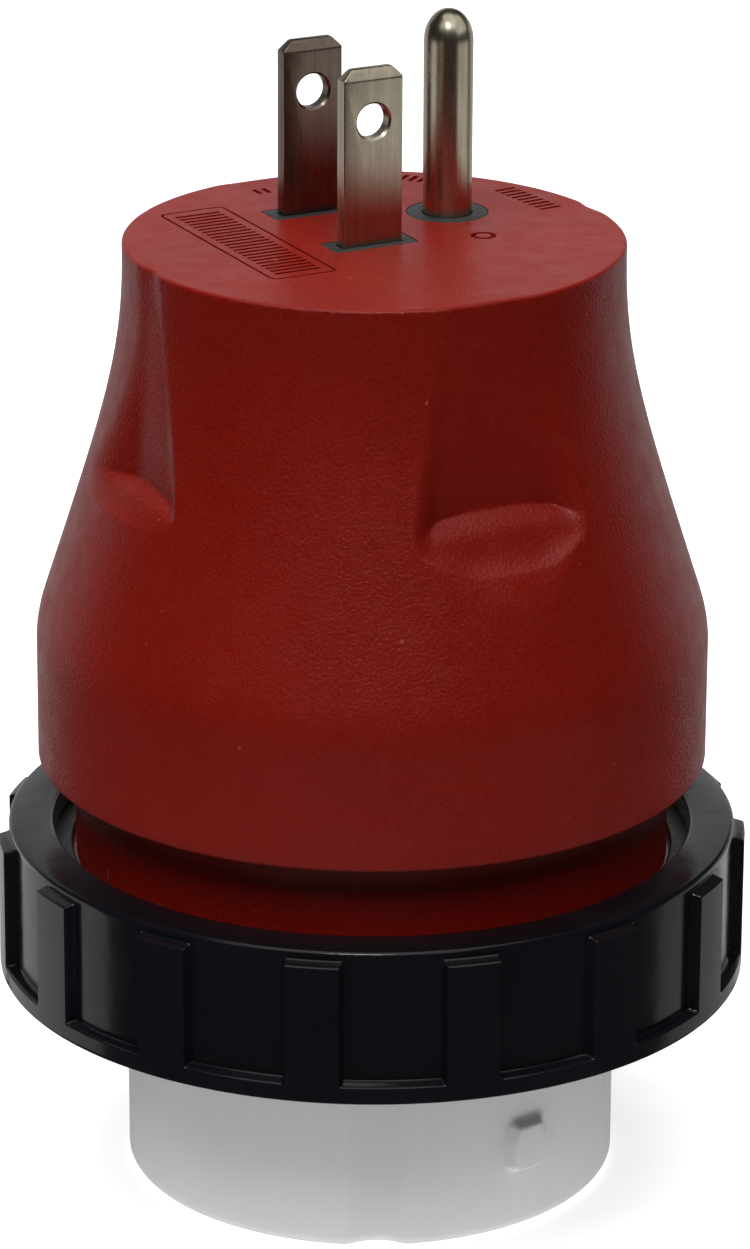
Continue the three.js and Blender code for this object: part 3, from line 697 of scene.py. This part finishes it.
def make_ring(material):
    """The locking ring: ribs and a bottom band outside, a lip at the top and a thread inside."""
    angles = rib_angles()
    even = np.ones(len(angles))
    low, high = RING_LOW.z, RING_HIGH.z
    band_top, rib_top = low + RING_BAND_HEIGHT, high - RING_RIB_TOP_GAP
    lip_z = high - RING_LIP_THICKNESS
    rows = [(THREAD_ROOT_RADIUS * even, low)]
    for up, inward in quarter(5):
        rows.append(((RING_RADIUS - RING_EDGE * inward) * even, low + RING_EDGE * up))
    heights = spaced(low + 0.8, band_top - RIB_WALL, 0.4)
    heights += spaced(band_top - RIB_WALL, band_top + RIB_WALL, 0.07)
    heights += spaced(band_top + RIB_WALL, rib_top - RIB_WALL, 1.0)
    heights += spaced(rib_top - RIB_WALL, rib_top + RIB_WALL, 0.07)
    rows += [(ribbed_radius(angles, z), z) for z in heights]
    for inward, down in quarter(5):
        rows.append(((RING_PANEL_RADIUS - RING_EDGE * inward) * even, high - RING_EDGE * down))
    for down, outward in quarter(5):
        rows.append(((RING_BORE_RADIUS + RING_EDGE * outward) * even, high - RING_EDGE * down))
    rows.append((RING_BORE_RADIUS * even, lip_z))
    rows.append((THREAD_ROOT_RADIUS * even, lip_z))
    rows += [(thread_radius(angles, z), z) for z in spaced(lip_z - 0.6, low + 0.1, 0.22)]
    heights = np.array([[z] for _, z in rows])
    ring = turned("ribbed_ring", np.array([radii for radii, _ in rows]), heights, angles, loop=True)
    return place(ring, "ring", "black_nylon", material, "locking_ring")


def make_washer(material):
    """The flat washer with rounded edges that slides with the ring."""
    low, high = cad_mm("slip_washer")
    centre = ((WASHER_BORE_RADIUS + high.x) / 2, (low.z + high.z) / 2)
    section = rounded_rectangle(high.x - WASHER_BORE_RADIUS, high.z - low.z, WASHER_EDGE, centre)
    washer = lathe("sliding_washer", section, RING_COLUMNS, loop=True)
    return place(washer, "washer", "washer_plastic", material, "slip_washer")


def make_gasket(material):
    """The rubber gasket, with two raised sealing beads under it."""
    low, high = cad_mm("face_gasket")
    inner, outer = GASKET_BORE_RADIUS, high.x
    plain, top = low.z + BEAD_HEIGHT, high.z
    below, above = GASKET_LOWER_EDGE, GASKET_UPPER_EDGE
    section = [(outer - below, plain), (outer, plain + below), (outer, top - above), (outer - above, top)]
    section += [(inner + above, top), (inner, top - above), (inner, plain + below), (inner + below, plain)]
    for centre in (inner + BEAD_INSET, outer - BEAD_INSET):
        for step in range(BEAD_STEPS + 1):
            turn = radians(180 * step / BEAD_STEPS)
            section.append((centre - BEAD_HALF_WIDTH * cos(turn), plain - BEAD_HEIGHT * sin(turn)))
    gasket = lathe("rim_gasket", section, RING_COLUMNS, loop=True)
    return place(gasket, "adapter", "seal_rubber", material, "face_gasket")


# ---------------------------------------------------------------- connector barrel and ground strip

def barrel_radius(angles, height):
    """The barrel's outside radius, with the keyway pressed in and the pillow boss standing out."""
    def across(centre):
        return ((angles - centre + 180) % 360 - 180) * radians(1) * BARREL_RADIUS

    round_radius = (KEYWAY_WIDTH ** 2 / 4 + KEYWAY_DEPTH ** 2) / (2 * KEYWAY_DEPTH)
    from_middle = np.abs(across(KEYWAY_ANGLE))
    from_keyway = np.minimum(from_middle, round_radius)
    groove = np.sqrt(round_radius ** 2 - from_keyway ** 2) - (round_radius - KEYWAY_DEPTH)
    groove = smooth_most(groove, 0, KEYWAY_ROUND)
    groove = np.maximum(groove - KEYWAY_ROUND / 4 * (from_middle > KEYWAY_WIDTH), 0)
    middle_z, half_height = (BOSS_TOP_Z + BOSS_BOTTOM_Z) / 2, (BOSS_TOP_Z - BOSS_BOTTOM_Z) / 2
    beyond_side = np.maximum(np.abs(across(BOSS_ANGLE)) - BOSS_HALF_WIDTH + BOSS_CORNER, 0)
    beyond_end = max(abs(height - middle_z) - half_height + BOSS_CORNER, 0)
    inside = BOSS_CORNER - np.hypot(beyond_side, beyond_end)
    run = BOSS_RUN + BOSS_TOP_RUN * smooth_step((height - middle_z) / half_height)
    boss = smooth_step(inside / run)
    return BARREL_RADIUS - groove + BOSS_HEIGHT * boss


def slot_cutter(inner, outer, start, end):
    """A contact slot with a flared mouth."""
    outline = sector(inner, outer, start, end)
    mouth = BARREL_LOW.z
    return stack("slot", [
        (shrunk(outline, -2 * SLOT_LEAD_IN), mouth - SLOT_LEAD_IN),
        (outline, mouth + SLOT_LEAD_IN),
        (outline, mouth + SLOT_DEPTH + PAST / 2),
    ])


def make_barrel(material):
    """The white barrel: contact slots and their cavities, and a pocket for the ground strip."""
    angles = np.arange(BARREL_COLUMNS) * 360 / BARREL_COLUMNS
    even = np.ones(BARREL_COLUMNS)
    low, high = BARREL_LOW.z, BARREL_HIGH.z
    wall = barrel_radius(angles, low)
    rows = [(wall - 2 * BARREL_EDGE, low)]
    rows += [(wall - BARREL_EDGE * inward, low + BARREL_EDGE * up) for up, inward in quarter(7)]
    heights = spaced(low + 1.6, BOSS_BOTTOM_Z - 0.2, 1.0)
    heights += spaced(BOSS_BOTTOM_Z - 0.2, BOSS_TOP_Z + 0.2, 0.2)
    heights += spaced(BOSS_TOP_Z + 0.2, SHOULDER_Z, 2.0) + [SHOULDER_Z - 0.05]
    rows += [(barrel_radius(angles, z), z) for z in heights]
    rows += [(radius * even, z) for radius, z in (
        (BARREL_RADIUS, SHOULDER_Z), (SHOULDER_RADIUS - SHOULDER_EDGE, SHOULDER_Z),
        (SHOULDER_RADIUS, SHOULDER_Z + SHOULDER_EDGE), (SHOULDER_RADIUS, high - SHOULDER_EDGE),
        (SHOULDER_RADIUS - SHOULDER_EDGE, high),
        (COVER_RECESS_RADIUS, high), (COVER_RECESS_RADIUS, COVER_BOTTOM_Z),
    )]
    heights = np.array([[z] for _, z in rows])
    barrel = turned("white_barrel", np.array([radii for radii, _ in rows]), heights, angles)
    half_slot, half_cavity = SLOT_WIDTH / 2, CAVITY_WIDTH / 2
    cutters = []
    for angle in SLOT_ANGLES:
        span = (angle - SLOT_HALF_ANGLE, angle + SLOT_HALF_ANGLE)
        wide = (angle - CAVITY_HALF_ANGLE, angle + CAVITY_HALF_ANGLE)
        cutters.append(slot_cutter(SLOT_RADIUS - half_slot, SLOT_RADIUS + half_slot, *span))
        cavity = sector(SLOT_RADIUS - half_cavity, SLOT_RADIUS + half_cavity, *wide)
        cutters.append(plate("cavity", cavity, low + SLOT_DEPTH, COVER_BOTTOM_Z + PAST))
    neutral_end = SLOT_ANGLES[-1] + SLOT_HALF_ANGLE
    cutters.append(slot_cutter(SLOT_RADIUS, SLOT_RADIUS + half_slot + NEUTRAL_KEY_REACH,
                               neutral_end - NEUTRAL_KEY_ANGLE, neutral_end))
    room = CLIP_WIDTH + 2 * FITTING_GAP
    inner = CLIP_INNER_RADIUS - FITTING_GAP
    pocket = radial_box(inner, BARREL_RADIUS + PAST, room, CLIP_ANGLE)
    cutters.append(plate("pocket", pocket, CLIP_BOTTOM_Z - FITTING_GAP, CLIP_BOW_TOP_Z + 2 * FITTING_GAP))
    channel = radial_box(inner, inner + CLIP_THICKNESS + 2 * FITTING_GAP, room, CLIP_ANGLE)
    cutters.append(plate("channel", channel, CLIP_BOTTOM_Z, high + PAST))
    combine(barrel, "DIFFERENCE", cutters)
    return place(barrel, "adapter", "white_nylon", material, "connector_barrel")


def make_ground_strip(material):
    """The ground strip: a bent spring strip that bows out of its pocket, with a tab over the cover."""
    middle_radius = CLIP_INNER_RADIUS + CLIP_THICKNESS / 2
    tab_z = CLIP_TAB_Z + CLIP_TAB_THICKNESS / 2
    route = []
    for z in np.linspace(CLIP_BOTTOM_Z, CLIP_BOW_TOP_Z, BOW_STEPS):
        share = (z - CLIP_BOTTOM_Z) / (CLIP_BOW_TOP_Z - CLIP_BOTTOM_Z)
        route.append((middle_radius + CLIP_BOW * sin(radians(180 * share)) ** 2, z))
    for inward, down in quarter(5):
        route.append((middle_radius - CLIP_BEND * inward, tab_z - CLIP_BEND * down))
    route.append((CLIP_TAB_INNER_RADIUS, tab_z))
    route = np.array(route)
    along = np.gradient(route, axis=0)
    along /= np.linalg.norm(along, axis=1, keepdims=True)
    outward = np.stack([along[:, 1], -along[:, 0]], axis=1) * CLIP_THICKNESS / 2
    outline = np.concatenate([route + outward, (route - outward)[::-1]])
    strip = plate("ground_strip", outline, -CLIP_WIDTH / 2, CLIP_WIDTH / 2, CLIP_EDGE)
    strip.data.transform(Matrix.Rotation(radians(90), 4, "X"))
    strip.data.transform(Matrix.Rotation(radians(CLIP_ANGLE), 4, "Z"))
    turn = radians(CLIP_ANGLE)
    spot = (CLIP_SCREW_RADIUS * cos(turn), CLIP_SCREW_RADIUS * sin(turn))
    hole = plate("hole", circle(CLIP_SCREW_HOLE, spot), tab_z - 2 * PAST, tab_z + 2 * PAST)
    combine(strip, "DIFFERENCE", [hole])
    return place(strip, "adapter", "contact_brass", material, "ground_clip")


# ---------------------------------------------------------------- materials

class Finish:
    """A Principled material whose colour, roughness and relief come from noise in the object's metres."""

    def __init__(self, name, metallic=0.0, specular=0.5):
        self.material = bpy.data.materials.new(name)
        self.material.use_nodes = True
        self.nodes = self.material.node_tree.nodes
        self.links = self.material.node_tree.links
        self.shader = self.nodes["Principled BSDF"]
        self.shader.inputs["Metallic"].default_value = metallic
        self.shader.inputs["Specular IOR Level"].default_value = specular
        self.place = self.nodes.new("ShaderNodeTexCoord").outputs["Object"]
        self.normal = None

    def noise(self, scale, detail, stretch=(1, 1, 1)):
        """Noise with about scale lumps to the metre, finer along the axes that stretch enlarges."""
        mapping = self.nodes.new("ShaderNodeMapping")
        mapping.inputs["Scale"].default_value = [scale * factor for factor in stretch]
        texture = self.nodes.new("ShaderNodeTexNoise")
        texture.inputs["Scale"].default_value = 1.0
        texture.inputs["Detail"].default_value = detail
        self.links.new(self.place, mapping.inputs["Vector"])
        self.links.new(mapping.outputs["Vector"], texture.inputs["Vector"])
        return texture.outputs["Fac"]

    def ranged(self, value, low, high, start=0.3, end=0.7):
        """A value between start and end, mapped to between low and high."""
        mapped = self.nodes.new("ShaderNodeMapRange")
        mapped.inputs["From Min"].default_value = start
        mapped.inputs["From Max"].default_value = end
        mapped.inputs["To Min"].default_value = low
        mapped.inputs["To Max"].default_value = high
        self.links.new(value, mapped.inputs["Value"])
        return mapped.outputs["Result"]

    def mixed(self, factor, first, second):
        """A colour between two colours, each a triple or a socket."""
        mix = self.nodes.new("ShaderNodeMix")
        mix.data_type = "RGBA"
        self.links.new(factor, mix.inputs["Factor"])
        for number, colour in ((6, first), (7, second)):
            if isinstance(colour, tuple):
                mix.inputs[number].default_value = (*colour, 1)
            else:
                self.links.new(colour, mix.inputs[number])
        return mix.outputs[2]

    def colour(self, socket):
        self.links.new(socket, self.shader.inputs["Base Color"])

    def roughness(self, socket):
        self.links.new(socket, self.shader.inputs["Roughness"])

    def relief(self, height, depth, strength):
        """Adds relief of a depth in metres to what is there already."""
        bump = self.nodes.new("ShaderNodeBump")
        bump.inputs["Strength"].default_value = strength
        bump.inputs["Distance"].default_value = depth
        self.links.new(height, bump.inputs["Height"])
        if self.normal:
            self.links.new(self.normal, bump.inputs["Normal"])
        self.normal = bump.outputs["Normal"]
        self.links.new(self.normal, self.shader.inputs["Normal"])

    def clear_from_behind(self):
        """Makes the back of each face see-through."""
        side = self.nodes.new("ShaderNodeNewGeometry")
        clear = self.nodes.new("ShaderNodeBsdfTransparent")
        either = self.nodes.new("ShaderNodeMixShader")
        self.links.new(side.outputs["Backfacing"], either.inputs["Fac"])
        self.links.new(self.shader.outputs["BSDF"], either.inputs[1])
        self.links.new(clear.outputs["BSDF"], either.inputs[2])
        self.links.new(either.outputs["Shader"], self.nodes["Material Output"].inputs["Surface"])


def red_vinyl():
    """Soft red PVC: fine moulded grain, faint clouding, and a few pale specks."""
    finish = Finish("red_vinyl", specular=0.36)
    cloud = finish.noise(60, 3)
    grain = finish.noise(3200, 2)
    base = finish.mixed(finish.ranged(cloud, 0, 1), (0.190, 0.0050, 0.0020), (0.225, 0.0072, 0.0030))
    base = finish.mixed(finish.ranged(grain, 0, 0.7, 0.35, 0.75), base, (0.29, 0.012, 0.005))
    speck = finish.noise(900, 1)
    base = finish.mixed(finish.ranged(speck, 0, 0.35, 0.78, 0.83), base, (0.55, 0.16, 0.13))
    finish.colour(base)
    finish.roughness(finish.ranged(finish.noise(420, 3), 0.34, 0.44))
    finish.relief(grain, 0.00008, 0.9)
    finish.relief(finish.noise(140, 2), 0.00012, 0.25)
    return finish.material


def black_nylon():
    """Glossy black nylon with a faint orange-peel surface and a little handling haze."""
    finish = Finish("black_nylon")
    haze = finish.noise(90, 4)
    base = finish.mixed(finish.ranged(haze, 0, 1), (0.0040, 0.0041, 0.0062), (0.0062, 0.0064, 0.0088))
    finish.colour(base)
    finish.roughness(finish.ranged(finish.noise(300, 4), 0.13, 0.21))
    finish.relief(finish.noise(650, 2), 0.00003, 0.35)
    finish.relief(finish.noise(60, 1), 0.00015, 0.15)
    return finish.material


def white_nylon():
    """Off-white nylon: slightly clouded, with faint vertical draw marks."""
    finish = Finish("white_nylon")
    cloud = finish.noise(45, 3)
    base = finish.mixed(finish.ranged(cloud, 0, 1), (0.68, 0.68, 0.67), (0.72, 0.72, 0.71))
    drawn = finish.noise(700, 2, (1, 1, 0.04))
    base = finish.mixed(finish.ranged(drawn, 0, 0.12), base, (0.60, 0.60, 0.59))
    finish.colour(base)
    finish.roughness(finish.ranged(finish.noise(500, 3), 0.34, 0.46))
    finish.relief(drawn, 0.00003, 0.3)
    finish.relief(finish.noise(1800, 2), 0.00002, 0.3)
    finish.shader.inputs["Subsurface Weight"].default_value = 0.12
    finish.shader.inputs["Subsurface Radius"].default_value = (0.0012, 0.0011, 0.0009)
    finish.shader.inputs["Subsurface Scale"].default_value = 1.0
    return finish.material


def nickel(name, light, dark):
    """Satin nickel plate: blasted fine grain with drawn streaks and faint warm tarnish."""
    finish = Finish(name, metallic=1.0)
    tarnish = finish.noise(160, 3)
    base = finish.mixed(finish.ranged(tarnish, 0, 1), light, dark)
    streak = finish.noise(2600, 2, (1, 1, 0.04))
    base = finish.mixed(finish.ranged(streak, 0, 0.5), base, tuple(part * 0.6 for part in dark))
    finish.colour(base)
    finish.roughness(finish.ranged(finish.noise(900, 2), 0.26, 0.29))
    finish.relief(streak, 0.00001, 0.2)
    return finish.material


def metal(name, light, dark, roughness, streak_scale=2200):
    """A worked metal with streaks and slight staining."""
    finish = Finish(name, metallic=1.0)
    stain = finish.noise(260, 4)
    streak = finish.noise(streak_scale, 2, (1, 1, 0.1))
    finish.colour(finish.mixed(finish.ranged(stain, 0, 1), light, dark))
    finish.roughness(finish.ranged(streak, roughness - 0.06, roughness + 0.08))
    finish.relief(streak, 0.00002, 0.3)
    return finish.material


def moulded(name, light, dark, roughness, grain_scale=1500):
    """A plain moulded plastic or rubber, with slight clouding and a fine grain."""
    finish = Finish(name)
    cloud = finish.noise(120, 3)
    grain = finish.noise(grain_scale, 2)
    finish.colour(finish.mixed(finish.ranged(cloud, 0, 1), light, dark))
    finish.roughness(finish.ranged(grain, roughness - 0.06, roughness + 0.08))
    finish.relief(grain, 0.00003, 0.4)
    return finish.material


FINISHES = {
    "red_vinyl": red_vinyl(),
    "black_nylon": black_nylon(),
    "white_nylon": white_nylon(),
    "nickel": nickel("nickel", (0.60, 0.54, 0.41), (0.49, 0.43, 0.32)),
    # A darker, browner copy of the nickel: painted shade for the rear blade, which has the same plating as
    # the front one.
    "shaded_nickel": nickel("shaded_nickel", (0.26, 0.195, 0.16), (0.20, 0.15, 0.12)),
    "dark_nylon": moulded("dark_nylon", (0.034, 0.037, 0.039), (0.026, 0.028, 0.030), 0.5, 1800),
    "seal_rubber": moulded("seal_rubber", (0.022, 0.022, 0.022), (0.032, 0.032, 0.031), 0.72),
    # The washer is near black: its colour paints the deep shade in the gap between the grip's neck and the
    # ring's bore.
    "washer_plastic": moulded("washer_plastic", (0.022, 0.022, 0.023), (0.032, 0.032, 0.034), 0.42),
    "contact_brass": metal("contact_brass", (0.72, 0.50, 0.20), (0.58, 0.38, 0.15), 0.32),
    "screw_steel": metal("screw_steel", (0.56, 0.56, 0.55), (0.44, 0.44, 0.43), 0.34, 1200),
    "black_lead": moulded("black_lead", (0.014, 0.014, 0.014), (0.022, 0.022, 0.022), 0.45),
    "white_lead": moulded("white_lead", (0.68, 0.67, 0.62), (0.74, 0.73, 0.69), 0.45),
    "green_lead": moulded("green_lead", (0.014, 0.16, 0.045), (0.020, 0.20, 0.060), 0.45),
}


def dress_kept_nodes():
    """Gives each CAD node that stays in view the procedural finish of its material slot."""
    slots = {entry["node"]: entry["material_slot"] for entry in frame["record"]["subparts"]}
    for name, node in frame["nodes"].items():
        node.data.materials.clear()
        node.data.materials.append(FINISHES[slots[name]])
        node.data.shade_smooth()
        node.data.set_sharp_from_angle(angle=CREASE_ANGLE)


# ---------------------------------------------------------------- camera, floor and lights, in metres

CAMERA_AZIMUTH = -27.7
CAMERA_ELEVATION = 19.95
CAMERA_DISTANCE = 0.5757
CAMERA_LENS = 167.9
CAMERA_SENSOR = 36
CAMERA_ROLL = 0.3
AIM = Vector((0, 0, 0.0563))
AIM_ASIDE = 0.00025

FLOOR_HALF = 6
FLOOR_Z = -0.0003
FLOOR_GLOW = 0.55
WORLD_STRENGTH = 0.03


def direction(azimuth, elevation):
    """The unit vector towards a place seen at an azimuth and elevation; azimuth 0 is the -Y side."""
    turn, rise = radians(azimuth), radians(elevation)
    return Vector((sin(turn) * cos(rise), -cos(turn) * cos(rise), sin(rise)))


def add_camera():
    """The photo's camera, as it was fitted to the prongs and the outlines."""
    data = bpy.data.cameras.new("camera")
    data.lens = CAMERA_LENS
    data.sensor_width = CAMERA_SENSOR
    data.clip_start = 0.01
    data.clip_end = 20
    camera = bpy.data.objects.new("camera", data)
    bpy.context.scene.collection.objects.link(camera)
    away = direction(CAMERA_AZIMUTH, CAMERA_ELEVATION)
    facing = away.to_track_quat("Z", "Y").to_matrix().to_4x4()
    facing = facing @ Matrix.Rotation(radians(CAMERA_ROLL), 4, "Z")
    right = facing.col[0].to_3d()
    camera.matrix_world = Matrix.Translation(AIM + away * CAMERA_DISTANCE + right * AIM_ASIDE) @ facing
    bpy.context.scene.camera = camera


def add_floor():
    """A plain pale floor that fills the view, and is clear from below."""
    corners = [(x * FLOOR_HALF, y * FLOOR_HALF, FLOOR_Z) for x, y in ((-1, -1), (1, -1), (1, 1), (-1, 1))]
    mesh = bpy.data.meshes.new("floor")
    mesh.from_pydata(corners, [], [(0, 1, 2, 3)])
    floor = bpy.data.objects.new("floor", mesh)
    bpy.context.scene.collection.objects.link(floor)
    finish = Finish("floor", specular=0.1)
    tone = finish.ranged(finish.noise(3, 2), 0, 1)
    finish.colour(finish.mixed(tone, (0.86, 0.86, 0.86), (0.88, 0.88, 0.88)))
    finish.shader.inputs["Roughness"].default_value = 0.9
    finish.shader.inputs["Emission Color"].default_value = (1, 1, 1, 1)
    finish.shader.inputs["Emission Strength"].default_value = FLOOR_GLOW
    finish.clear_from_behind()
    mesh.materials.append(finish.material)
    floor.visible_diffuse = False
    floor.visible_glossy = False
    floor.visible_shadow = False


def add_light(name, azimuth, elevation, distance, width, height, radiance, shine):
    """A rectangular soft box that faces the object, at an azimuth from the camera. radiance is how bright
    its surface looks. A shine box only shows in glossy surfaces, and the others only give plain light."""
    data = bpy.data.lights.new(name, "AREA")
    data.shape = "RECTANGLE"
    data.size = width
    data.size_y = height
    data.energy = radiance * np.pi * width * height
    light = bpy.data.objects.new(name, data)
    bpy.context.scene.collection.objects.link(light)
    away = direction(CAMERA_AZIMUTH + azimuth, elevation)
    facing = away.to_track_quat("Z", "Y").to_matrix().to_4x4()
    light.matrix_world = Matrix.Translation(AIM + away * distance) @ facing
    light.visible_diffuse = not shine
    light.visible_glossy = shine
    return light


def add_world():
    """A faint even light from all round."""
    world = bpy.data.worlds.new("studio")
    world.use_nodes = True
    background = world.node_tree.nodes["Background"]
    background.inputs["Color"].default_value = (1, 1, 1, 1)
    background.inputs["Strength"].default_value = WORLD_STRENGTH
    bpy.context.scene.world = world


def receivers(name, *pieces):
    """A collection of pieces, for a light that only shows in them."""
    group = bpy.data.collections.new(name)
    for piece in pieces:
        group.objects.link(bpy.data.objects[piece])
    return group


def light_studio():
    """All the lights, one row each: what add_light takes, and which pieces see a linked one."""
    add_world()
    prongs = receivers("prongs", "front_prong", "rear_prong", "round_prong")
    ring = receivers("ring", "ribbed_ring")
    for *values, seen_in in (
        ("key_box", -11, 56, 1.1, 1.4, 0.5, 4.1, False, None),
        ("left_box", -105, 64, 1.1, 1.2, 0.5, 2.6, False, None),
        ("right_box", 95, 64, 1.1, 1.2, 0.5, 1.6, False, None),
        ("rear_box", 180, 50, 1.1, 1.2, 0.5, 1.9, False, None),
        ("floor_bounce", 0, -90, AIM.z + 0.002, 0.2, 0.2, 1.3, False, None),
        ("key_shine", -11, 48, 1.1, 1.4, 0.5, 0.8, True, None),
        ("spark_shine", -4, 50, 1.1, 0.22, 0.12, 26, True, None),
        ("top_shine", 0, 84, 1.1, 1.0, 0.8, 0.9, True, None),
        ("back_shine", 180, -5, 0.7, 2.6, 0.6, 0.5, True, None),
        ("face_shine", -160, 26, 1.0, 1.2, 0.4, 0.32, True, None),
        ("left_card", -85, -10.6, 0.305, 0.34, 0.12, 0.75, True, prongs),
        ("right_card", 75, -10.6, 0.305, 0.34, 0.12, 0.68, True, prongs),
        ("high_card", 75, 46, 0.305, 0.34, 0.26, 0.75, True, prongs),
        ("ring_left_card", -118, -19, 0.6, 0.6, 0.3, 0.6, True, ring),
        ("ring_right_card", 125, -19, 0.6, 0.5, 0.3, 0.35, True, ring),
    ):
        light = add_light(*values)
        if seen_in:
            light.light_linking.receiver_collection = seen_in
    scene = bpy.context.scene
    scene.view_settings.view_transform = "Standard"
    scene.view_settings.look = "None"


# ---------------------------------------------------------------- the object

add_camera()
add_floor()
dress_kept_nodes()
make_grip(FINISHES["red_vinyl"])
make_insert(FINISHES["dark_nylon"])
make_blade("front_prong", "hot_blade", FINISHES["nickel"])
# The rear blade takes the darker copy of the nickel, which paints shade onto it.
make_blade("rear_prong", "neutral_blade", FINISHES["shaded_nickel"])
make_pin(FINISHES["nickel"])
make_ring(FINISHES["black_nylon"])
make_washer(FINISHES["washer_plastic"])
make_gasket(FINISHES["seal_rubber"])
make_barrel(FINISHES["white_nylon"])
make_ground_strip(FINISHES["contact_brass"])
light_studio()
